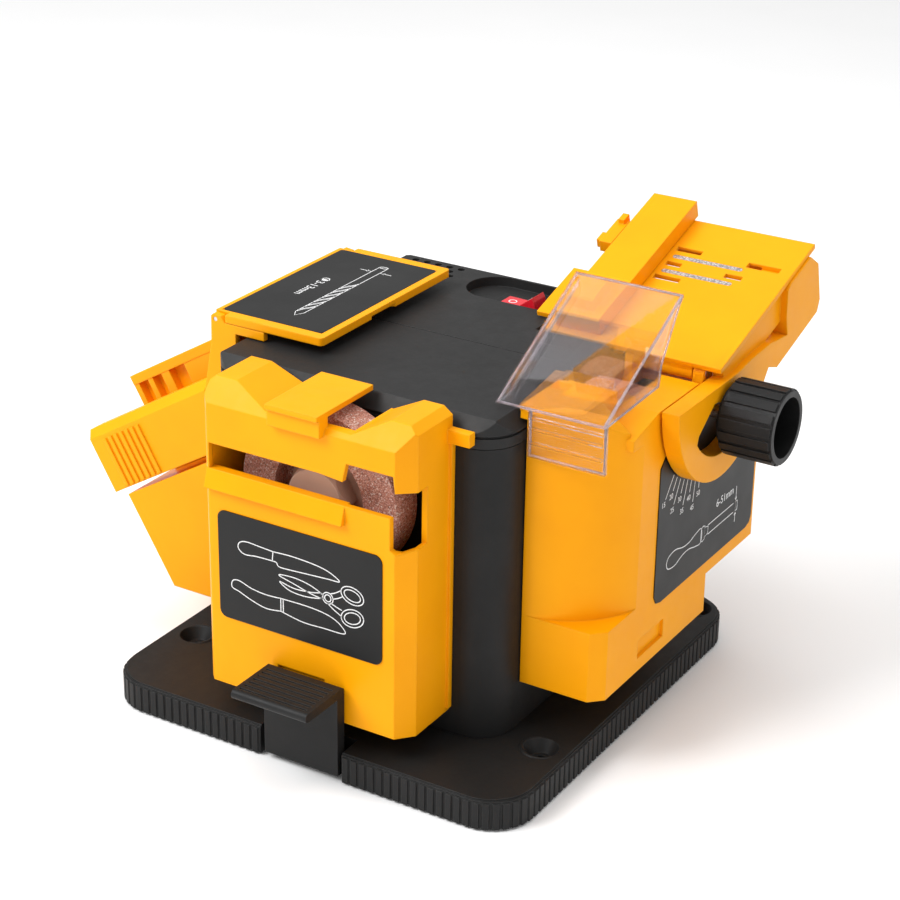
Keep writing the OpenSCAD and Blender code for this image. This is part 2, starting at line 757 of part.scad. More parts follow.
// Outer form of the station, before it is hollowed.
module chisel_blank() {
  chisel_plan(chisel_z0, chisel_z1);
  // Squared foot at the front corner.
  translate([0, 0, chisel_z0]) linear_extrude(foot_z1 - chisel_z0) polygon([
    [chisel_x0, chisel_y0], [chisel_x1 - 5.5, chisel_y0], [chisel_x1, chisel_y0 + 5.5],
    [chisel_x1, 0], [chisel_x0, 0]]);
  box(chisel_x0, chisel_x1, foot_y1 - 1, chisel_y1, over_z, chisel_z1);
  // High block at the front, which covers the wheel under the shield.
  intersection() {
    chisel_plan(chisel_z1 - 1, chisel_front_z);
    prism_x(chisel_x0, strip_x + 2, [
      [chisel_y0, 140], [chisel_y0, chisel_front_z - 2], [chisel_y0 + 2, chisel_front_z],
      [block_y1, chisel_front_z], [block_y1, 140]]);
  }
  // Ridge from the block down to the side strip.
  intersection() {
    chisel_plan(chisel_z1 - 1, chisel_front_z);
    prism_y(chisel_y0, block_y1 - 12, [
      [strip_x + 1, 140], [strip_x + 1, chisel_front_z], [chisel_x1, chisel_z1 + 2], [chisel_x1, 140]]);
  }
}

module chisel_body()
  color(yellow)
    difference() {
      union() {
        difference() {
          chisel_blank();
          // Hollow inside.
          box(chisel_x0 - 1, chisel_x1 - wall, chisel_y0 + chisel_round, foot_y1 - wall,
              chisel_z0 + wall, chisel_z1 + 1);
          intersection() {
            rod_z(chisel_z0 + wall, chisel_z1 - wall, chisel_round_x, chisel_y0 + chisel_round,
                  chisel_round - wall);
            box(chisel_x0 - 1, chisel_x1 - wall, chisel_y0, 20, chisel_z0, chisel_z1 + 2);
          }
          box(chisel_x0 - 1, chisel_x1 - wall, foot_y1 - wall - 1, chisel_y1 - wall,
              over_z + wall, chisel_z1 - wall);
          // Wheel well.
          intersection() {
            rod_x(chisel_x0 - 1, strip_x - 0.4, 0, axis_z, well_r);
            rod_z(chisel_z0, 170, chisel_round_x, chisel_y0 + chisel_round, 50);
            translate([0, 0, 100]) linear_extrude(70) polygon([
              [chisel_x0 - 2, -well_r], [88.8, -well_r], [strip_x, -36.2], [strip_x, well_r],
              [chisel_x0 - 2, well_r]]);
          }
        }
        // Strip along the outer side, rising to the table, and roof behind the well.
        box(strip_x, chisel_x1, -24, 46, chisel_z1 - wall, chisel_z1);
        prism_x(strip_x, chisel_x1, [
          [-24, chisel_z1 - 1], [-24, 143.5], [-3, strip_top], [33, strip_top], [33, chisel_z1 - 1]]);
        box(chisel_x0, chisel_x1, 46, chisel_y1, chisel_z1 - wall, chisel_z1);
        // Ears that hold the tilt pin.
        for (x = [[71, 74.6], [102, 106.9]]) {
          rod_x(x[0], x[1], pivot_y, pivot_z, 4);
          prism_x(x[0], x[1], [
            [pivot_y - 5, chisel_z1 - wall], [pivot_y + 5, chisel_z1 - wall],
            [pivot_y + 4, pivot_z], [pivot_y - 4, pivot_z]]);
        }
        box(chisel_x0, 74.6, pivot_y - 5, 47, chisel_z1 - wall, chisel_z1);
        // Boss of the clamp stud.
        rod_x(chisel_x1 - 9, chisel_x1 - 1, stud_y, stud_z, 6);
        // Hook over the edge of the cover, and the small ear beside it.
        box(66.6, chisel_x0 + 1, chisel_y0 + 1, block_y1 - 2, 154.2, chisel_front_z);
        box(68, chisel_x0 + 1, chisel_y0 - 1, chisel_y0 + 4, 152, chisel_front_z);
      }
      rod_x(chisel_x1 - 12, chisel_x1 + 2, stud_y, stud_z, 3);
      rod_x(60, 120, pivot_y, pivot_z, pin_r);
      // Catch recess low on the side.
      box(chisel_x1 - 1.6, chisel_x1 + 1, -11, 12, 41, 49.5);
    }

label_t = 0.45;

module chisel_label()
  color(film)
    prism_x(chisel_x1, chisel_x1 + label_t, [
      [1, 64], [3, 60.5], [7, 59.4], [90, 59.4], [94, 60.6], [95.5, 64], [95.5, 122],
      [92, 126], [5, 126], [1, 122]]);

// Dark plate behind the curved window of the tilt frame.
module friction_plate()
  color(black)
    difference() {
      union() {
        intersection() {
          rod_x(chisel_x1, chisel_x1 + 2 * label_t, pivot_y, pivot_z, window_r1 + 2);
          box(chisel_x1, chisel_x1 + 1, 0, 90, 126.1, chisel_z1 - 0.2);
        }
        intersection() {
          rod_x(chisel_x1 + label_t, chisel_x1 + 2 * label_t, pivot_y, pivot_z, window_r1 + 2);
          box(chisel_x1, chisel_x1 + 1, 0, 90, 100, chisel_z1 - 0.2);
        }
      }
      rod_x(chisel_x1 - 1, chisel_x1 + 2, stud_y, stud_z, 3);
    }

module tilt_pin()
  color(steel)
    rod_x(70.8, chisel_x1, pivot_y, pivot_z, pin_r);

// Side cheek outline in table coordinates: tongue at the front, step and hook at the back.
cheek_outline = concat(
  [[-42.4, 11.6], [9.7, -4.5], [22, -6.5], [40, -11.2], [56.6, -18.3], [57, -9], [60, 2.5],
   [64, 4], [84, 4], [91, -4], [90.5, -22.6], [87, -27], [44.6, -27], [37, -21.5], [30.5, -26]],
  [for (a = [-42 : -6 : -192]) tongue_r * [cos(a), sin(a)]]);

// Curved window round the pivot, with its corners taken off.
window_outline = concat(
  [for (a = [-158 : 6 : -50]) window_r1 * [cos(a), sin(a)]],
  [(window_r1 - 3) * [cos(-44), sin(-44)], (window_r0 + 3) * [cos(-44), sin(-44)]],
  [for (a = [-56 : -8 : -144]) window_r0 * [cos(a), sin(a)]],
  [(window_r0 + 3) * [cos(-162), sin(-162)], (window_r1 - 3) * [cos(-162), sin(-162)]]);

// Screws that hold the table plate on its rail.
screw_spots = [[104, 30], [104, 60]];

module tilt_frame()
  color(yellow)
    on_table()
      difference() {
        union() {
          difference() {
            prism_x(cheek_x0, cheek_x1, cheek_outline);
            // Curved window for the clamp.
            prism_x(cheek_x0 - 1, cheek_x1 + 1, window_outline);
          }
          // Rails and cross bars under the table plate.
          box(100, cheek_x1 - 3.2, 9, 86, 0, plate_top - plate_t);
          box(78, 84, 2, 86, -1, plate_top - plate_t);
          box(73, cheek_x0 + 1, 14, 22, -1, plate_top - plate_t);
          box(40, cheek_x0 + 1, 74, 82, -1, plate_top - plate_t);
          box(40, 46, 30, 82, -1, plate_top - plate_t);
          box(cheek_x0, cheek_x1 - 3.2, 2, 60, -12, plate_top - plate_t);
          // Barrel on the tilt pin.
          rod_x(75, 101.6, 0, 0, 4.1);
          box(75, 101.6, -3.5, 5, 0, plate_top - plate_t);
        }
        rod_x(60, 107.5, 0, 0, pin_r + fit);
        for (p = screw_spots)
          rod_z(-1, 5, p[0], p[1], 1.6);
      }

plate_y1 = plate_y0 + table_len;
strip_y = [51.5, 62.5];

module table_plate()
  color(yellow)
    on_table()
      difference() {
        union() {
          box(fence_x0 - 5, plate_x1, plate_y0, plate_y1, plate_top - plate_t, plate_top);
          box(23.8, fence_x0 - 4, 6.6, 40.3, plate_top - plate_t, plate_top);
        }
        // Seats of the magnet strips.
        for (y = strip_y)
          slab(60.8, 93.8, y - 1.3, y + 1.3, plate_top - 1.2, plate_top + 1, 1.2);
        // Moulding windows.
        for (w = [[60, 72, 66.6, 69.6], [60.2, 67.4, 55.4, 58.4], [59.4, 71.8, 45, 48],
                  [94.2, 109.2, 65, 68.6], [88.2, 96.2, 55, 58]])
          box(w[0], w[1], w[2], w[3], plate_top - plate_t - 1, plate_top + 1);
        // Guide slots of the fence bar.
        for (y = [28, 70])
          box(fence_x0 + 1.5, 100, y - 1.6, y + 1.6, plate_top - plate_t - 1, plate_top - 1.4);
        for (p = screw_spots)
          rod_z(0, plate_top - 0.9, p[0], p[1], 1.6);
      }

module table_screws()
  color(steel)
    on_table()
      for (p = screw_spots) {
        rod_z(-2, -0.05, p[0], p[1], 2.7);
        rod_z(-1, plate_top - 1, p[0], p[1], 1.55);
      }

module magnet_strips()
  color(steel)
    on_table()
      for (y = strip_y)
        slab(60.9, 93.7, y - 1.2, y + 1.2, plate_top - 1.2, plate_top - 0.05, 1.15);

module fence_bar()
  color(yellow)
    on_table()
      difference() {
        union() {
          box(fence_x0, fence_x1, 0, 93.5, plate_top + gap, plate_top + fence_h);
          // Hook over the back edge of the plate.
          box(fence_x0 + 4, fence_x1 - 4, plate_y1 + 0.35, 93.5, plate_top - 5, plate_top + 1);
        }
        prism_x(fence_x0 - 1, fence_x1 + 1, [
          [-1, plate_top + fence_h - 2], [-1, plate_top + fence_h + 1], [2, plate_top + fence_h + 1]]);
      }

module fence_clip()
  color(yellow)
    on_table()
      union() {
        box(26, fence_x0 - 5 + eps, 60, 78, plate_top - 3.5, plate_top + 1.8);
        box(23, 27, 63, 69, plate_top - 4, plate_top);
        box(28, 31, 75, 80, plate_top - 3, plate_top + 4);
      }

shield_x0 = 58;
shield_x1 = 106;
shield_t = 1.8;

module shield()
  color(clear)
    union() {
      // Sloping window.
      prism_x(shield_x0, shield_x1, [
        [-48, 157.6], [-46, 156.6], [15.8, 190.4], [15, 192.2]]);
      // Side wall at the right and short return at the left.
      prism_x(shield_x1 - shield_t, shield_x1, [
        [-46.6, 156.8], [-2, 158.6], [-0.6, 167.5], [15, 191.6]]);
      prism_x(shield_x0, shield_x0 + shield_t, [
        [-46.6, 156.8], [-38, 157.4], [15, 186.5], [15, 191.6]]);
      // Flange down the front of the station, with grip ribs.
      box(72, shield_x1, -46.2, -44.3, 137, 158.2);
      for (z = [143, 149, 153.5])
        box(73, shield_x1 - 1, -47.4, -46, z, z + 1.2);
    }

module clamp_stud()
  color(steel)
    rod_x(chisel_x1 - 8, knob_x1 - 9, stud_y, stud_z, 3);

module clamp_knob()
  color(black)
    difference() {
      union() {
        rod_x(knob_x0 + 2, knob_x1, stud_y, stud_z, knob_r - 0.8);
        rod_x(knob_x0, knob_x0 + 2.5, stud_y, stud_z, 12.6);
        for (a = [0 : 20 : 340])
          translate([0, stud_y, stud_z]) rotate([a, 0, 0])
            box(knob_x0 + 2.4, knob_x1 - 0.8, -1.9, 1.9, knob_r - 2.6, knob_r);
      }
      rod_x(knob_x1 - 15, knob_x1 + 1, stud_y, stud_z, knob_r - 3.4);
      rod_x(knob_x0 - 1, knob_x1 - 10, stud_y, stud_z, 3 + fit);
    }

// ---------- drill station ----------

drill_in = -house_x - 0.5;
drill_outline = [
  [drill_in, drill_z0], [-108, drill_z0], [-132, 66], [-87.2, 92.8], [-87.2, 127], [-83.2, 150],
  [-83, lid_top - lid_t - gap], [-56, lid_top - lid_t - gap], [-56, cover_top + 0.6],
  [drill_in, cover_top + 0.6]];
drill_hollow = [
  [drill_in + 1, drill_z0 + wall], [-106.4, drill_z0 + wall], [-128.4, 64.8], [-84.6, 91],
  [-84.6, 127], [-80.8, 150], [-80.6, 156.5], [drill_in + 1, 156.5]];

lid_pin_x = lid_x0 + 2.2;
lid_pin_z = lid_top - lid_t + 0.6;
knuckle = 3.7;

module drill_body()
  color(yellow)
    difference() {
      union() {
        difference() {
          prism_y(drill_y0, drill_y1, drill_outline);
          prism_y(drill_y0 + wall, drill_y1 - wall, drill_hollow);
          box(drill_in - 12, -50, drill_y0 + wall, drill_y1 - wall, 150, 170);
          box(drill_in, -50, drill_y0 + wall, drill_y1 - wall, 140, 170);
          // Room for the lid to turn.
          rod_y(drill_y0 + knuckle, drill_y1 - knuckle, lid_pin_x, lid_pin_z, 3.8);
        }
        // Knuckles at both ends of the lid pin.
        for (y = [drill_y0, drill_y1 - knuckle + gap])
          prism_y(y, y + knuckle - gap, [
            [lid_x0, 155], [-76, 155], [-76, lid_top - lid_t - gap], [-78, lid_top - 1],
            [lid_x0 + 1, lid_top - 0.6], [lid_x0, lid_top - 1.6]]);
      }
      rod_y(drill_y0 - 1, drill_y1 + 1, lid_pin_x, lid_pin_z, 1);
      // Opening for the drill and slot for the tail of the jaw.
      box(-95, -78, -29.5, -16.4, 96, 138);
      on_rest() box(-6, 22, -39.2, -33.4, -6.6, 6.6);
    }

module drill_lid()
  color(yellow)
    difference() {
      slab(lid_x0, lid_x1, drill_y0, drill_y1, lid_top - lid_t, lid_top, 2);
      // Corners left free for the knuckles.
      for (y = [drill_y0 - 1, drill_y1 - knuckle])
        box(lid_x0 - 1, -75.6, y, y + knuckle + 1, lid_top - lid_t - 1, lid_top + 1);
      // Shallow bed of the label.
      box(lid_x0 + 2, lid_x1 - 3.4, drill_y0 + 5, drill_y1 - 5, lid_top - 0.4, lid_top + 1);
      // Finger scallop under the free edge.
      rod_z(lid_top - lid_t - 1, lid_top - lid_t + 1.4, lid_x1 + 6, 4, 11);
      rod_y(drill_y0 - 1, drill_y1 + 1, lid_pin_x, lid_pin_z, 1 + fit);
    }

module lid_label()
  color(film)
    slab(lid_x0 + 2.2, lid_x1 - 3.6, drill_y0 + 5.2, drill_y1 - 5.2,
         lid_top - 0.4, lid_top + 0.05, 2);

module lid_pin()
  color(steel)
    rod_y(drill_y0 + 0.2, drill_y1 - 0.2, lid_pin_x, lid_pin_z, 1);

// Fixed rest behind the drill, with lightening pockets.
module drill_rest()
  color(yellow)
    difference() {
      on_rest()
        difference() {
          union() {
            box(-54, 20, -16, -10, -17.8, 27);
            box(-54, 20, -16.2, -12, 24, 28.4);
            box(-30, 20, -10.5, 4, -2, 4);
          }
          for (u = [[-51, -45], [-42, -36], [-31, -21]])
            box(u[0], u[1], -17.5, -12, 13, 24);
          box(-55, 21, -17, -14, -6, 6);
        }
      box(-87.2, -40, -60, 60, 60, 170);
    }

// Sliding jaw with a ribbed grip.
module drill_jaw()
  color(yellow)
    difference() {
      union() {
        difference() {
          on_rest()
            prism_x(-arm_len, 22, [
              [-42, -arm_half], [-30, -arm_half], [-30, arm_half], [-39, arm_half],
              [-42, arm_half - 4]]);
          box(-87.5, -40, -60, 0, 60, 170);
        }
        on_rest() box(-6, 16, -38.9, -33.7, -6.3, 6.3);
        on_rest()
          for (i = [0 : 6])
            box(-60 + 3.6 * i, -58 + 3.6 * i, -42.9, -41.5, -arm_half + 0.8, arm_half - 6);
      }
      // Hollow back.
      on_rest()
        prism_x(-arm_len - 1, -14, [
          [-31.5, -arm_half + 3], [-29, -arm_half + 3], [-29, 8], [-31.5, 8]]);
    }

// ---------- output ----------

base_plate();
rubber_feet();
pivot_screw();
pedal();
pedal_pin();
pedal_spring();
lower_housing();
top_cover();
cover_screws();
switch_frame();
switch_rocker();
cable_gland();
motor_can();
motor_bells();
motor_stator();
motor_screws();
motor_shaft();
motor_rotor();
motor_fan();
crown_gear();
gearbox_bracket();
shaft_bushes();
run_capacitor();
knife_shaft();
knife_pinion();
knife_wheel();
knife_flange();
knife_nut();
chisel_shaft();
chisel_pinion();
chisel_wheel();
chisel_flange();
chisel_nut();
drill_shaft();
drill_pinion();
drill_wheel();
drill_flange();
drill_nut();
knife_body();
knife_label();
chisel_body();
chisel_label();
friction_plate();
tilt_pin();
tilt_frame();
table_plate();
table_screws();
magnet_strips();
fence_bar();
fence_clip();
shield();
clamp_stud();
clamp_knob();
drill_body();
drill_lid();
lid_label();
lid_pin();
drill_rest();
drill_jaw();
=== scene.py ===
import json
import math

import bmesh
import bpy
from mathutils import Matrix, Vector


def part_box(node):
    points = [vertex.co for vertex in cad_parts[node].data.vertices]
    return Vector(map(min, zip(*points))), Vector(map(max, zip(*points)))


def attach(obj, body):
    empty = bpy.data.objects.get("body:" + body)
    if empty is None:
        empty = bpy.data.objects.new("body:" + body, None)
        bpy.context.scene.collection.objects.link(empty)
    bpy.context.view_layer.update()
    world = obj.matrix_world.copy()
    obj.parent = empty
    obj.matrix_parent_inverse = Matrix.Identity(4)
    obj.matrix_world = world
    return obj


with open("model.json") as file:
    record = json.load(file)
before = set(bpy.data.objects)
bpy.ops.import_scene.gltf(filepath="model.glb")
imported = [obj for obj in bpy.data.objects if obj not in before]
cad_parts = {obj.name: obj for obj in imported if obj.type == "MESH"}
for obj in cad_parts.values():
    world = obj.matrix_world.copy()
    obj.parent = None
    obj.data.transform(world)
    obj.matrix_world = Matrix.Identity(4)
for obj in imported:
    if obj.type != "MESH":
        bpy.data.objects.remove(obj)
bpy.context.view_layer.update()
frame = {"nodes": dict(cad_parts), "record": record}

MM = 0.001
RECORD = frame["record"]


# ---------------------------------------------------------------- materials

class Shader:
    """A material with its nodes, built up by the functions below."""

    def __init__(self, name):
        self.material = bpy.data.materials.new(name)
        self.material.use_nodes = True
        self.tree = self.material.node_tree
        self.tree.nodes.clear()
        self.out = self.add("ShaderNodeOutputMaterial")
        self.bsdf = self.add("ShaderNodeBsdfPrincipled")
        self.link(self.bsdf, "BSDF", self.out, "Surface")
        self.coord = self.add("ShaderNodeTexCoord")

    def add(self, kind, **values):
        node = self.tree.nodes.new(kind)
        for key, value in values.items():
            setattr(node, key, value)
        return node

    def link(self, a, a_socket, b, b_socket):
        self.tree.links.new(a.outputs[a_socket], b.inputs[b_socket])

    def set(self, **values):
        for key, value in values.items():
            self.bsdf.inputs[key.replace("_", " ")].default_value = value

    def noise(self, scale, detail=4.0, rough=0.6, stretch=None):
        node = self.add("ShaderNodeTexNoise")
        node.inputs["Scale"].default_value = scale
        node.inputs["Detail"].default_value = detail
        node.inputs["Roughness"].default_value = rough
        if stretch:
            place = self.add("ShaderNodeMapping")
            place.inputs["Scale"].default_value = stretch
            self.link(self.coord, "Object", place, "Vector")
            self.link(place, "Vector", node, "Vector")
        else:
            self.link(self.coord, "Object", node, "Vector")
        return node

    def ramp(self, source, socket, stops):
        node = self.add("ShaderNodeValToRGB")
        self.link(source, socket, node, "Fac")
        ramp = node.color_ramp
        while len(ramp.elements) < len(stops):
            ramp.elements.new(0.5)
        for element, (place, colour) in zip(ramp.elements, stops):
            element.position = place
            element.color = (*colour, 1.0)
        return node

    def span(self, source, socket, low, high, to_low, to_high):
        node = self.add("ShaderNodeMapRange")
        self.link(source, socket, node, "Value")
        for key, value in zip(("From Min", "From Max", "To Min", "To Max"),
                              (low, high, to_low, to_high)):
            node.inputs[key].default_value = value
        return node

    def rounded(self, radius):
        """The normal of edges rounded off by radius, and a mask that is 1 on them."""
        bevel = self.add("ShaderNodeBevel")
        bevel.samples = 4
        bevel.inputs["Radius"].default_value = radius
        plain = self.add("ShaderNodeNewGeometry")
        dot = self.add("ShaderNodeVectorMath", operation="DOT_PRODUCT")
        self.link(bevel, "Normal", dot, 0)
        self.link(plain, "Normal", dot, 1)
        return bevel, self.span(dot, "Value", 0.995, 0.85, 0.0, 1.0)

    def bump(self, source, socket, strength, distance, normal=None):
        node = self.add("ShaderNodeBump")
        node.inputs["Strength"].default_value = strength
        node.inputs["Distance"].default_value = distance
        self.link(source, socket, node, "Height")
        if normal:
            self.link(normal[0], normal[1], node, "Normal")
        self.link(node, "Normal", self.bsdf, "Normal")
        return node

    def mix(self, factor, factor_socket, a, b):
        """Colour mix; a and b are a node with a Color output or a plain colour."""
        node = self.add("ShaderNodeMix", data_type="RGBA")
        self.link(factor, factor_socket, node, "Factor")
        for index, value in ((6, a), (7, b)):
            if isinstance(value, tuple):
                node.inputs[index].default_value = (*value, 1.0)
            else:
                self.tree.links.new(value.outputs[0 if value.type != "MIX" else 2],
                                    node.inputs[index])
        return node

    def paint(self, mixed):
        self.tree.links.new(mixed.outputs[2], self.bsdf.inputs["Base Color"])


def moulded(name, base, shade, edge_wear_and_highlight, rough, grain=900.0, depth=0.00004, edge=0.0005, coat=0.0,
            sheen=0.22):
    """Injection-moulded plastic: slow colour drift, fine grain, rounded edges lightened in scuffed
    patches, partly as wear and partly as a painted highlight.
    """
    s = Shader(name)
    drift = s.noise(22.0, 3.0)
    colour = s.ramp(drift, "Fac", [(0.35, shade), (0.62, base)])
    bevel, mask = s.rounded(edge)
    fine = s.noise(grain, 3.0, 0.7)
    scuff = s.noise(140.0, 6.0, 0.75)
    # Painted highlight and wear: the rounded edges are painted lighter in scuffed patches.
    edge_wear_highlight_mask = s.add("ShaderNodeMath", operation="MULTIPLY")
    s.link(mask, "Result", edge_wear_highlight_mask, 0)
    spots = s.span(scuff, "Fac", 0.4, 0.62, 0.25, 0.9)
    s.link(spots, "Result", edge_wear_highlight_mask, 1)
    s.paint(s.mix(edge_wear_highlight_mask, "Value", colour, edge_wear_and_highlight))
    gloss = s.span(scuff, "Fac", 0.3, 0.75, rough - 0.06, rough + 0.08)
    s.link(gloss, "Result", s.bsdf, "Roughness")
    s.set(Coat_Weight=coat, Coat_Roughness=0.2, Specular_IOR_Level=sheen)
    s.bump(fine, "Fac", 0.5, depth, (bevel, "Normal"))
    return s.material


def metal(name, base, shade, rough, stretch=(1, 1, 1), scale=700.0):
    """Turned, drawn or cast metal, with its grain stretched along one axis."""
    s = Shader(name)
    grain = s.noise(scale, 4.0, 0.7, stretch)
    stain = s.noise(35.0, 4.0)
    colour = s.ramp(stain, "Fac", [(0.3, shade), (0.65, base)])
    bevel, mask = s.rounded(0.0003)
    # Painted highlight: the rounded edges are painted 1.25 times lighter than the base colour.
    s.paint(s.mix(mask, "Result", colour, tuple(min(1.0, c * 1.25) for c in base)))
    gloss = s.span(grain, "Fac", 0.3, 0.7, rough - 0.08, rough + 0.1)
    s.link(gloss, "Result", s.bsdf, "Roughness")
    s.set(Metallic=1.0)
    s.bump(grain, "Fac", 0.35, 0.00003, (bevel, "Normal"))
    return s.material


def abrasive(name):
    """Bonded corundum: close pink-brown grit, with painted shade in each pore and painted glints on
    its brightest facets.
    """
    s = Shader(name)
    grit = s.add("ShaderNodeTexVoronoi")
    grit.inputs["Scale"].default_value = 2300.0
    s.link(s.coord, "Object", grit, "Vector")
    glint_cells = s.add("ShaderNodeTexVoronoi")
    glint_cells.inputs["Scale"].default_value = 1900.0
    s.link(s.coord, "Object", glint_cells, "Vector")
    pore_shade = s.noise(900.0, 3.0, 0.7)
    cells = s.add("ShaderNodeSeparateColor")
    s.link(grit, "Color", cells, "Color")
    body = s.ramp(cells, "Red", [
        (0.0, (0.33, 0.13, 0.09)), (0.35, (0.5, 0.2, 0.14)), (0.7, (0.62, 0.3, 0.22)),
        (1.0, (0.72, 0.44, 0.35))])
    bright = s.add("ShaderNodeSeparateColor")
    s.link(glint_cells, "Color", bright, "Color")
    # Painted glint: the brightest cells are painted near-white, as sparkling facets.
    facet_glint = s.span(bright, "Green", 0.86, 0.95, 0.0, 0.85)
    # Painted shade: each pore is painted near-black where the noise is low.
    pore_shade_mask = s.span(pore_shade, "Fac", 0.42, 0.34, 0.0, 0.8)
    pore_shaded_grit = s.mix(pore_shade_mask, "Result", body, (0.1, 0.035, 0.025))
    s.paint(s.mix(facet_glint, "Result", pore_shaded_grit, (0.95, 0.85, 0.78)))
    gloss = s.span(bright, "Green", 0.8, 0.95, 0.75, 0.25)
    s.link(gloss, "Result", s.bsdf, "Roughness")
    s.bump(grit, "Distance", 0.9, 0.0003)
    return s.material


def clear(name):
    """Clear moulded plastic with a faint violet tint and fine handling marks."""
    s = Shader(name)
    marks = s.noise(60.0, 5.0, 0.7, (1.0, 4.0, 1.0))
    gloss = s.span(marks, "Fac", 0.35, 0.75, 0.01, 0.09)
    s.link(gloss, "Result", s.bsdf, "Roughness")
    tint = s.ramp(marks, "Fac", [(0.3, (0.9, 0.84, 0.92)), (0.7, (0.96, 0.92, 0.97))])
    s.link(tint, "Color", s.bsdf, "Base Color")
    s.set(Transmission_Weight=1.0, IOR=1.3, Alpha=0.6)
    s.bump(marks, "Fac", 0.05, 0.0002)
    return s.material


def clear_edge(name):
    """The shield's rounded rims, which gather the light and look milky."""
    s = Shader(name)
    marks = s.noise(240.0, 4.0, 0.7)
    colour = s.ramp(marks, "Fac", [(0.3, (0.8, 0.68, 0.74)), (0.7, (0.97, 0.92, 0.95))])
    s.link(colour, "Color", s.bsdf, "Base Color")
    gloss = s.span(marks, "Fac", 0.3, 0.75, 0.04, 0.15)
    s.link(gloss, "Result", s.bsdf, "Roughness")
    s.set(Transmission_Weight=0.75, IOR=1.45, Alpha=0.85)
    s.bump(marks, "Fac", 0.1, 0.0001)
    return s.material


def film(name):
    """Dark printed film of the labels, with a soft orange-peel surface."""
    s = Shader(name)
    peel = s.noise(420.0, 2.0)
    drift = s.noise(30.0, 3.0)
    colour = s.ramp(drift, "Fac", [(0.3, (0.006, 0.006, 0.006)), (0.7, (0.01, 0.01, 0.01))])
    s.link(colour, "Color", s.bsdf, "Base Color")
    gloss = s.span(drift, "Fac", 0.3, 0.7, 0.34, 0.46)
    s.link(gloss, "Result", s.bsdf, "Roughness")
    s.set(Specular_IOR_Level=0.25)
    s.bump(peel, "Fac", 0.2, 0.00003)
    return s.material


def ink(name):
    """White print, slightly broken up like screen ink."""
    s = Shader(name)
    spots = s.noise(1800.0, 3.0)
    colour = s.ramp(spots, "Fac", [(0.32, (0.5, 0.5, 0.5)), (0.5, (0.82, 0.82, 0.82))])
    s.link(colour, "Color", s.bsdf, "Base Color")
    gloss = s.span(spots, "Fac", 0.3, 0.7, 0.4, 0.6)
    s.link(gloss, "Result", s.bsdf, "Roughness")
    s.bump(spots, "Fac", 0.1, 0.00001)
    return s.material


def rough_floor(name):
    """Pale seamless floor with a barely visible drift."""
    s = Shader(name)
    drift = s.noise(3.0, 3.0)
    colour = s.ramp(drift, "Fac", [(0.3, (0.93, 0.93, 0.93)), (0.7, (0.96, 0.96, 0.96))])
    s.link(colour, "Color", s.bsdf, "Base Color")
    s.set(Roughness=0.9, Specular_IOR_Level=0.1)
    return s.material


def knurled(name):
    """Bright strip metal with a coarse pebbled face."""
    s = Shader(name)
    pebble = s.add("ShaderNodeTexVoronoi")
    pebble.inputs["Scale"].default_value = 1100.0
    s.link(s.coord, "Object", pebble, "Vector")
    # Painted light and shade: the colour follows the pebble relief, lighter at each cell's centre
    # and darker toward its border.
    colour = s.ramp(pebble, "Distance", [(0.1, (0.75, 0.72, 0.7)), (0.7, (0.3, 0.27, 0.26))])
    s.link(colour, "Color", s.bsdf, "Base Color")
    gloss = s.span(pebble, "Distance", 0.0, 0.8, 0.3, 0.6)
    s.link(gloss, "Result", s.bsdf, "Roughness")
    s.set(Metallic=0.6)
    s.bump(pebble, "Distance", 0.8, 0.0002)
    return s.material


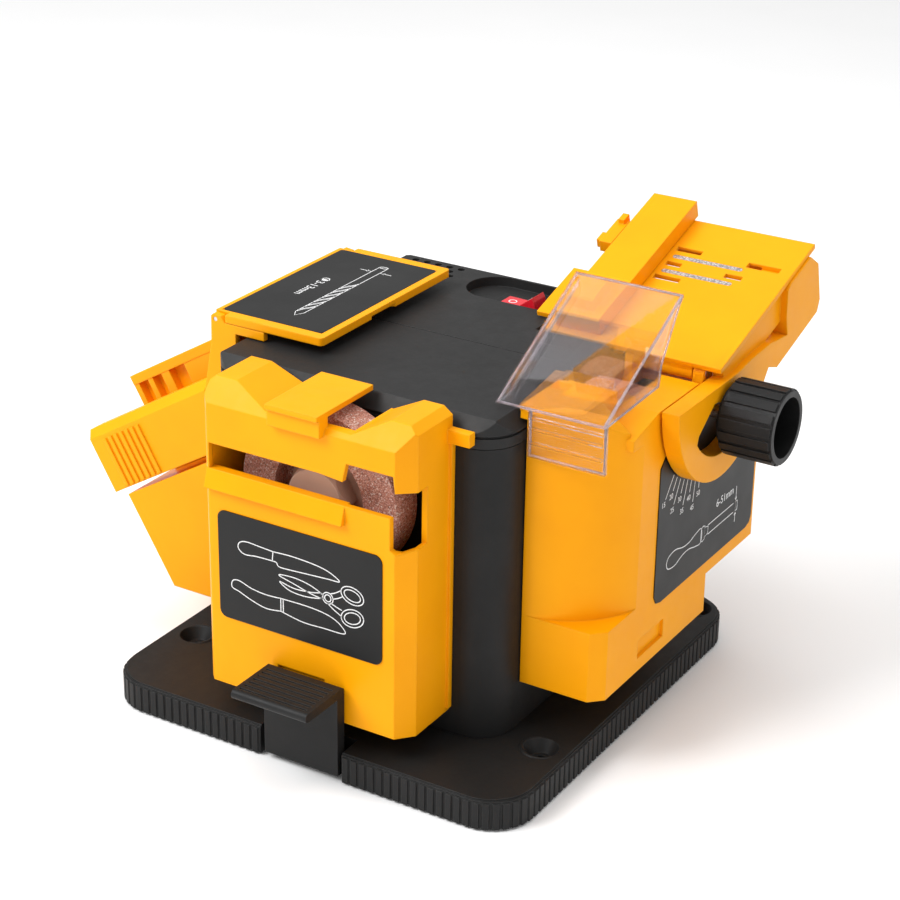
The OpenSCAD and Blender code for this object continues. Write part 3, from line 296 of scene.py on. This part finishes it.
def make_materials():
    # The third colour of each moulded plastic goes on its scuffed edges: lighter, partly for wear
    # and partly as a painted highlight.
    yellow = ((0.93, 0.37, 0.001), (0.9, 0.345, 0.001), (1.0, 0.46, 0.012))
    return {
        "black_plastic": moulded("black_plastic", (0.013, 0.013, 0.013), (0.01, 0.01, 0.01),
                                 (0.055, 0.055, 0.055), 0.5),
        "cover_plastic": moulded("cover_plastic", (0.02, 0.02, 0.02), (0.016, 0.016, 0.016),
                                 (0.06, 0.06, 0.06), 0.52, depth=0.00008),
        "rubber": moulded("rubber", (0.02, 0.02, 0.02), (0.014, 0.014, 0.014),
                          (0.04, 0.04, 0.04), 0.8),
        "steel": metal("steel", (0.62, 0.62, 0.64), (0.5, 0.5, 0.51), 0.3, (1, 1, 8)),
        "motor_steel": metal("motor_steel", (0.5, 0.5, 0.52), (0.4, 0.4, 0.42), 0.4, (1, 1, 0.2)),
        "cast_alloy": metal("cast_alloy", (0.55, 0.55, 0.56), (0.42, 0.42, 0.43), 0.5),
        "copper": metal("copper", (0.72, 0.34, 0.18), (0.55, 0.22, 0.1), 0.35, (1, 1, 12)),
        "inner_plastic": moulded("inner_plastic", (0.05, 0.05, 0.05), (0.04, 0.04, 0.04),
                                 (0.09, 0.09, 0.09), 0.5),
        "brass": metal("brass", (0.78, 0.57, 0.25), (0.62, 0.42, 0.17), 0.3),
        "capacitor_case": moulded("capacitor_case", (0.6, 0.5, 0.4), (0.52, 0.43, 0.34),
                                  (0.7, 0.6, 0.5), 0.4),
        "abrasive": abrasive("abrasive"),
        "hub_plastic": moulded("hub_plastic", (0.6, 0.4, 0.3), (0.5, 0.32, 0.24),
                               (0.75, 0.55, 0.44), 0.42, edge=0.0008),
        "yellow_plastic": moulded("yellow_plastic", *yellow, 0.4, depth=0.00002, edge=0.0008,
                                  sheen=0.12),
        "label": film("label"),
        "friction": moulded("friction", (0.012, 0.012, 0.012), (0.008, 0.008, 0.008),
                            (0.03, 0.03, 0.03), 0.35),
        "strip_metal": knurled("strip_metal"),
        "clear_plastic": clear("clear_plastic"),
        "red_plastic": moulded("red_plastic", (0.72, 0.015, 0.03), (0.6, 0.01, 0.02),
                               (0.85, 0.1, 0.1), 0.25, depth=0.00001, coat=0.4),
        "knob_plastic": moulded("knob_plastic", (0.01, 0.01, 0.01), (0.007, 0.007, 0.007),
                                (0.045, 0.045, 0.045), 0.42, depth=0.0001),
    }


MATERIALS = make_materials()
INK = ink("label_ink")
SHIELD_EDGE = clear_edge("shield_edge")


def dress_cad_nodes():
    """Gives every CAD node the material of its slot."""
    for part in RECORD["subparts"]:
        node = frame["nodes"][part["node"]]
        node.data.materials.clear()
        node.data.materials.append(MATERIALS[part["material_slot"]])
        for face in node.data.polygons:
            face.material_index = 0


# ---------------------------------------------------------------- mesh helpers

def piece(name, mesh, material, body):
    obj = bpy.data.objects.new(name, mesh)
    bpy.context.collection.objects.link(obj)
    mesh.materials.append(material)
    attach(obj, body)
    return obj


def smooth_path(points, closed, steps=7):
    """Catmull-Rom curve through 2-D points."""
    count = len(points)
    spans = count if closed else count - 1
    result = []
    for i in range(spans):
        if closed:
            p = [Vector(points[(i + k) % count]) for k in (-1, 0, 1, 2)]
        else:
            p = [Vector(points[min(max(i + k, 0), count - 1)]) for k in (-1, 0, 1, 2)]
        for k in range(steps):
            t = k / steps
            result.append(0.5 * ((2 * p[1]) + (p[2] - p[0]) * t
                          + (2 * p[0] - 5 * p[1] + 4 * p[2] - p[3]) * t * t
                          + (3 * p[1] - p[0] - 3 * p[2] + p[3]) * t ** 3))
    if not closed:
        result.append(Vector(points[-1]))
    return result


def ribbon(bm, path, closed, width, height, place):
    """A raised printed line along a 2-D path; place turns (u, v, h) in mm into the frame."""
    count = len(path)
    rows = []
    for i, p in enumerate(path):
        before = path[i - 1] if (closed or i > 0) else p
        after = path[(i + 1) % count] if (closed or i < count - 1) else p
        along = (Vector(after) - Vector(before)).normalized()
        side = Vector((-along.y, along.x)) * (width / 2)
        left, right = Vector(p) + side, Vector(p) - side
        rows.append([bm.verts.new(place(q.x, q.y, h)) for q, h in
                     ((left, 0.0), (left, height), (right, height), (right, 0.0))])
    spans = count if closed else count - 1
    for i in range(spans):
        a, b = rows[i], rows[(i + 1) % count]
        for k in range(4):
            bm.faces.new((a[k], a[(k + 1) % 4], b[(k + 1) % 4], b[k]))
    if not closed:
        bm.faces.new(rows[0])
        bm.faces.new(list(reversed(rows[-1])))


def print_lines(name, strokes, place, width, body):
    """One piece of printed line art. A stroke is (points, closed, smooth)."""
    bm = bmesh.new()
    for points, closed, smooth in strokes:
        path = smooth_path(points, closed) if smooth else [Vector(p) for p in points]
        ribbon(bm, path, closed, width, 0.05, place)
    bmesh.ops.recalc_face_normals(bm, faces=bm.faces)
    mesh = bpy.data.meshes.new(name)
    bm.to_mesh(mesh)
    bm.free()
    return piece(name, mesh, INK, body)


def print_text(name, text, size, origin, reading, up, body):
    """Raised characters; origin, reading and up are in the frame, size in mm."""
    curve = bpy.data.curves.new(name + "_font", "FONT")
    curve.body = text
    curve.size = size * MM
    curve.extrude = 0.025 * MM
    curve.align_x = "CENTER"
    curve.align_y = "CENTER"
    holder = bpy.data.objects.new(name + "_font", curve)
    bpy.context.collection.objects.link(holder)
    bpy.context.view_layer.update()
    graph = bpy.context.evaluated_depsgraph_get()
    mesh = bpy.data.meshes.new_from_object(holder.evaluated_get(graph))
    bpy.data.objects.remove(holder)
    reading, up = Vector(reading).normalized(), Vector(up).normalized()
    turn = Matrix((reading, up, reading.cross(up))).transposed().to_4x4()
    mesh.transform(Matrix.Translation(Vector(origin)) @ turn)
    mesh.name = name
    mesh.materials.clear()
    return piece(name, mesh, INK, body)


def ellipse(cx, cy, a, b, turn=0.0, count=28):
    c, s = math.cos(math.radians(turn)), math.sin(math.radians(turn))
    ring = [(a * math.cos(2 * math.pi * i / count), b * math.sin(2 * math.pi * i / count))
            for i in range(count)]
    return [(cx + x * c - y * s, cy + x * s + y * c) for x, y in ring]


def mirrored_line(points, axis):
    """An outline closed by its own mirror image about v = axis."""
    return points + [(u, 2 * axis - v) for u, v in reversed(points)]


# ---------------------------------------------------------------- pictograms

def knife_pictogram():
    """Two knives and a pair of scissors on the front label."""
    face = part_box("knife_label")[0].y

    def place(u, v, h):
        return Vector((u * MM, face - h * MM, v * MM))

    upper = [(-14, 93.2), (-20, 93.6), (-27, 94.0), (-30.4, 92.8), (-31, 90.2), (-28, 88.2),
             (-22, 88.8), (-14.4, 89.0)]
    upper_blade = [(-14, 93.2), (-5, 93.6), (6, 93.0), (13, 91.6), (17.8, 88.8), (12, 88.4),
                   (2, 87.8), (-8, 87.2), (-11.4, 87.4), (-12.4, 88.8), (-14.4, 89.0)]
    lower = [(-10.6, 73.2), (-18, 72.8), (-25, 73.6), (-31, 75.4), (-34.2, 74.6), (-34.6, 71.6),
             (-31, 70.4), (-25, 68.2), (-18, 66.6), (-10.6, 67.4)]
    lower_blade = [(-10.6, 73.2), (0, 73.4), (8, 73.0), (14, 71.8), (18.4, 69.4), (20, 66.2),
                   (10, 65.8), (0, 65.6), (-10.6, 67.4)]
    blade_a = [(9.8, 80.6), (4, 83.2), (-4, 84.4), (-11.4, 83.6), (-4, 81.6), (4, 79.6), (9.4, 79)]
    blade_b = [(9.6, 79.2), (2, 77.6), (-6, 78.0), (-11, 80.8), (-4, 79.6), (4, 80.2), (9.2, 81.2)]
    arm_a = [(13.4, 82.2), (16, 83.4), (18.6, 85.2)]
    arm_b = [(14.6, 80.2), (17, 81.2), (19.2, 82.6)]
    arm_c = [(13.4, 78.2), (16, 77.2), (18.8, 76.4)]
    arm_d = [(12, 77.6), (15, 75.6), (18.8, 73.6)]
    strokes = [
        (upper, False, True), (upper_blade, False, True),
        ([(-14, 93.2), (-14.4, 89.0)], False, False),
        (lower, False, True), (lower_blade, False, True),
        ([(-10.6, 73.2), (-10.6, 67.4)], False, False),
        ([(-9.4, 73.2), (-9.4, 67.3)], False, False),
        (blade_a, True, True), (blade_b, True, True),
        (ellipse(12.2, 79.9, 2.5, 2.5), True, False), (ellipse(12.2, 79.9, 1.5, 1.5), True, False),
        (ellipse(23.8, 84.2, 5.4, 3.7, -12), True, False),
        (ellipse(23.8, 84.2, 3.9, 2.3, -12), True, False),
        (ellipse(23.8, 74.2, 5.4, 3.9, 16), True, False),
        (ellipse(23.8, 74.2, 3.9, 2.5, 16), True, False),
        (arm_a, False, True), (arm_b, False, True), (arm_c, False, True), (arm_d, False, True),
    ]
    print_lines("knife_pictogram", strokes, place, 0.42, "stand")


def arrow(tip, tail, head=1.4):
    """Shaft and two barbs of a small arrow."""
    tip, tail = Vector(tip), Vector(tail)
    back = (tail - tip).normalized() * head
    side = Vector((-back.y, back.x)) * 0.6
    barbs = [tip + back + side, tip, tip + back - side]
    return [([tail, tip], False, False), (barbs, False, False)]


def chisel_pictogram():
    """Chisel outline, its width range and the table's angle scale on the side label."""
    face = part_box("chisel_label")[1].x

    def place(u, v, h):
        return Vector((face + h * MM, u * MM, v * MM))

    axis = 75.0
    handle = [(43.5, 78.2), (38, 78.0), (32, 76.6), (26, 76.8), (19, 78.6), (13.4, 78.0),
              (11.2, 76.2)]
    strokes = [
        (mirrored_line(handle, axis), True, True),
        (mirrored_line([(43.5, 78.0), (45.2, 78.6), (47, 78.0)], axis), True, False),
        (mirrored_line([(47, 77.4), (50.2, 76.6)], axis), True, False),
        (mirrored_line([(50.2, 77.2), (77.6, 77.2)], axis), True, False),
        (mirrored_line([(75.4, 77.2), (79.4, 77.2)], axis), False, False),
    ]
    strokes += arrow((77.6, 77.8), (77.6, 84.6)) + arrow((77.6, 72.2), (77.6, 67.4))
    pivot = Vector((41.0, 150.0))
    first_ray, spacing, first_number = 231.5, 5.0, 15
    tick_start, short_end, long_end, number_gap = 44.6, 50.5, 55.5, 2.6
    for step in range(8):
        angle = math.radians(first_ray + spacing * step)
        ray = Vector((math.cos(angle), math.sin(angle)))
        end = short_end if step % 2 else long_end
        strokes.append(([pivot + ray * tick_start, pivot + ray * end], False, False))
        spot = pivot + ray * (end + number_gap)
        number = first_number + 5 * step
        print_text("angle_%d" % number, str(number), 3.4,
                   place(spot.x, spot.y, 0.03), (0, 1, 0), (0, 0, 1), "stand")
    print_lines("chisel_pictogram", strokes, place, 0.42, "stand")
    print_text("chisel_width", "6-51mm", 5.2, place(66, 84.0, 0.02), (0, 1, 0), (0, 0, 1), "stand")


def drill_pictogram():
    """Twist drill outline and its diameter range on the lid label."""
    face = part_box("lid_label")[1].z

    def place(u, v, h):
        return Vector((v * MM, u * MM, face + h * MM))

    axis, half = -51.8, 2.1
    shank = mirrored_line([(16, axis + half), (42.6, axis + half)], axis)
    flutes = []
    for i in range(6):
        start = -22 + 6.2 * i
        flutes.append(([(start, axis - half), (start + 3.6, axis - 0.8), (start + 6, axis + 0.8),
                        (start + 9.4, axis + half)], False, True))
        flutes.append(([(start + 2.2, axis - half), (start + 5.4, axis - 0.6),
                        (start + 8, axis + 1.0), (start + 11.2, axis + half)], False, True))
    strokes = [
        (shank, True, False),
        (ellipse(42.6, axis, 1.0, half), True, False),
        ([(16, axis + half), (-22, axis + half), (-26, axis), (-22, axis - half), (16, axis - half)],
         False, False),
        ([(36, axis + half), (36, axis + 4.6)], False, False),
        ([(36, axis - half), (36, axis - 4.6)], False, False),
    ] + flutes
    strokes += arrow((36, axis + 3.2), (36, axis + 8.0)) + arrow((36, axis - 3.2), (36, axis - 8.0))
    print_lines("drill_pictogram", strokes, place, 0.38, "lid")
    print_text("drill_diameter", "Φ3-13mm", 5.6, place(7, -65.4, 0.02), (0, -1, 0), (1, 0, 0),
               "lid")


# ---------------------------------------------------------------- small details

def switch_marks():
    """The ring and the bar moulded into the two ends of the rocker."""
    low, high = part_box("switch_rocker")
    centre = (low.y + high.y) / 2
    axis = Vector((8.5 * MM, centre, 147.5 * MM))
    drawn_tilt, reach, height = -18, 4.6, 6.62
    tilt = Matrix.Rotation(math.radians(drawn_tilt), 3, "Y")
    slope = math.atan2(3.0, 8.6)

    def on_end(side):
        lean = Matrix.Rotation(-side * slope, 3, "Y")
        middle = tilt @ Vector((side * reach * MM, 0, height * MM))

        def place(u, v, h):
            return axis + middle + tilt @ lean @ (Vector((u, v, h)) * MM)
        return place

    print_lines("switch_off_mark", [(ellipse(0, 0, 1.7, 1.7, 0, 24), True, False)], on_end(-1),
                0.5, "rocker")
    print_lines("switch_on_mark", [([(0, -1.8), (0, 1.8)], False, False)], on_end(1), 0.5, "rocker")


def dish_lips():
    """Raised crescent lip behind each screw dish of the base plate."""
    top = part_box("base_plate")[1].z
    radius, steps, sides, sunk = 8.1, 24, 8, 0.02
    for index, (x, y) in enumerate(((87, -54), (-87, -54), (87, 88), (-87, 88))):
        bm = bmesh.new()
        rows = []
        for i in range(steps + 1):
            angle = math.radians((100 if x > 0 else -80) + 10 * i)
            size = 0.9 * math.sin(math.pi * i / steps) + sunk
            centre = Vector((x + radius * math.cos(angle), y + radius * math.sin(angle)))
            out = Vector((math.cos(angle), math.sin(angle)))
            row = []
            for k in range(sides + 1):
                swing = math.pi * k / sides
                flat = centre + out * size * math.cos(swing)
                row.append(bm.verts.new((flat.x * MM, flat.y * MM,
                                         top + (size * 0.7 * math.sin(swing) - sunk) * MM)))
            rows.append(row)
        for a, b in zip(rows, rows[1:]):
            for k in range(sides):
                bm.faces.new((a[k], a[k + 1], b[k + 1], b[k]))
        bmesh.ops.recalc_face_normals(bm, faces=bm.faces)
        mesh = bpy.data.meshes.new("dish_lip")
        bm.to_mesh(mesh)
        bm.free()
        mesh.shade_smooth()
        piece("dish_lip_%d" % (index + 1), mesh, MATERIALS["black_plastic"], "stand")


def bead(bm, points, closed, radius, sides=10):
    """Round bead along a polyline given in mm. No stretch of it may run along slant."""
    slant = Vector((0.3, 0.2, 0.93))
    spots = [Vector(p) * MM for p in points]
    count = len(spots)
    rings = []
    for i, spot in enumerate(spots):
        before = spots[i - 1] if (closed or i > 0) else spot
        after = spots[(i + 1) % count] if (closed or i < count - 1) else spot
        into = (spot - before).normalized()
        away = (after - spot).normalized()
        along = (into + away).normalized()
        across = along.cross(slant).normalized()
        over = along.cross(across)
        turns = [2 * math.pi * k / sides for k in range(sides)]
        rings.append([bm.verts.new(spot + radius * MM * (across * math.cos(a) + over * math.sin(a)))
                      for a in turns])
    spans = count if closed else count - 1
    for i in range(spans):
        a, b = rings[i], rings[(i + 1) % count]
        for k in range(sides):
            bm.faces.new((a[k], a[(k + 1) % sides], b[(k + 1) % sides], b[k]))
    if not closed:
        bm.faces.new(rings[0])
        bm.faces.new(list(reversed(rings[-1])))


def shield_beads():
    """Rounded rim moulded round the shield's window, side wall and flange."""
    low, high = (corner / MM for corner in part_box("shield"))
    left, right = low.x + 0.7, high.x - 0.7
    front, back = low.y + 1.3, high.y - 0.9
    sill, top, foot = 157.4, high.z - 1.0, low.z + 0.7
    flange_left, flange_y, wall_y = 72.7, -45.2, -0.8
    bm = bmesh.new()
    bead(bm, [(left, front, sill), (right, front, sill), (right, back, top), (left, back, top)],
         True, 0.7)
    bead(bm, [(right, front + 1, sill - 0.4), (right, wall_y - 1.6, 159.0), (right, wall_y, 167.4),
              (right, back - 0.4, top - 0.8)], False, 0.6)
    bead(bm, [(flange_left, flange_y, sill - 1), (flange_left, flange_y, foot),
              (right, flange_y, foot), (right, flange_y, sill - 1)], False, 0.65)
    bmesh.ops.recalc_face_normals(bm, faces=bm.faces)
    mesh = bpy.data.meshes.new("shield_beads")
    bm.to_mesh(mesh)
    bm.free()
    mesh.shade_smooth()
    piece("shield_beads", mesh, SHIELD_EDGE, "shield")


# ---------------------------------------------------------------- stage

def make_floor():
    mesh = bpy.data.meshes.new("floor")
    reach = 6.0
    corners = [(-reach, -reach, 0), (reach, -reach, 0), (reach, reach, 0), (-reach, reach, 0)]
    mesh.from_pydata(corners, [], [(0, 1, 2, 3)])
    mesh.materials.append(rough_floor("floor"))
    floor = bpy.data.objects.new("floor", mesh)
    bpy.context.collection.objects.link(floor)


def area_light(name, place, target, size, power, colour=(1, 1, 1)):
    data = bpy.data.lights.new(name, "AREA")
    data.shape = "RECTANGLE"
    data.size, data.size_y = size
    data.energy = power
    data.color = colour
    lamp = bpy.data.objects.new(name, data)
    lamp.location = place
    lamp.rotation_euler = (Vector(target) - Vector(place)).to_track_quat("-Z", "Y").to_euler()
    bpy.context.collection.objects.link(lamp)


def make_lights():
    world = bpy.data.worlds.new("studio")
    world.use_nodes = True
    world.node_tree.nodes["Background"].inputs["Color"].default_value = (1, 1, 1, 1)
    world.node_tree.nodes["Background"].inputs["Strength"].default_value = 0.6
    bpy.context.scene.world = world
    target = (0, 0, 0.09)
    area_light("key", (-0.75, -0.9, 1.25), target, (0.9, 0.9), 24)
    area_light("top", (0.1, 0.2, 1.7), target, (1.2, 1.2), 12)
    area_light("side", (1.4, -0.3, 0.8), target, (0.9, 0.9), 2)


def make_camera():
    """The photograph's viewpoint: azimuth, elevation and roll in degrees, place in metres."""
    azimuth, elevation, roll = (math.radians(a) for a in (31.09, 24.38, -0.89))
    ahead = Vector((-math.sin(azimuth) * math.cos(elevation),
                    math.cos(azimuth) * math.cos(elevation), -math.sin(elevation)))
    right = Vector((math.cos(azimuth), math.sin(azimuth), 0))
    down = ahead.cross(right)
    turned_right = math.cos(roll) * right + math.sin(roll) * down
    turned_down = -math.sin(roll) * right + math.cos(roll) * down
    data = bpy.data.cameras.new("camera")
    data.lens = 92.52
    data.sensor_width = 36
    data.clip_start = 0.01
    camera = bpy.data.objects.new("camera", data)
    turn = Matrix((turned_right, -turned_down, -ahead)).transposed()
    camera.matrix_world = Matrix.Translation((0.4687, -0.7621, 0.51)) @ turn.to_4x4()
    bpy.context.collection.objects.link(camera)
    bpy.context.scene.camera = camera


bpy.context.scene.view_settings.view_transform = "Standard"
make_camera()
dress_cad_nodes()
knife_pictogram()
chisel_pictogram()
drill_pictogram()
switch_marks()
dish_lips()
shield_beads()
make_floor()
make_lights()
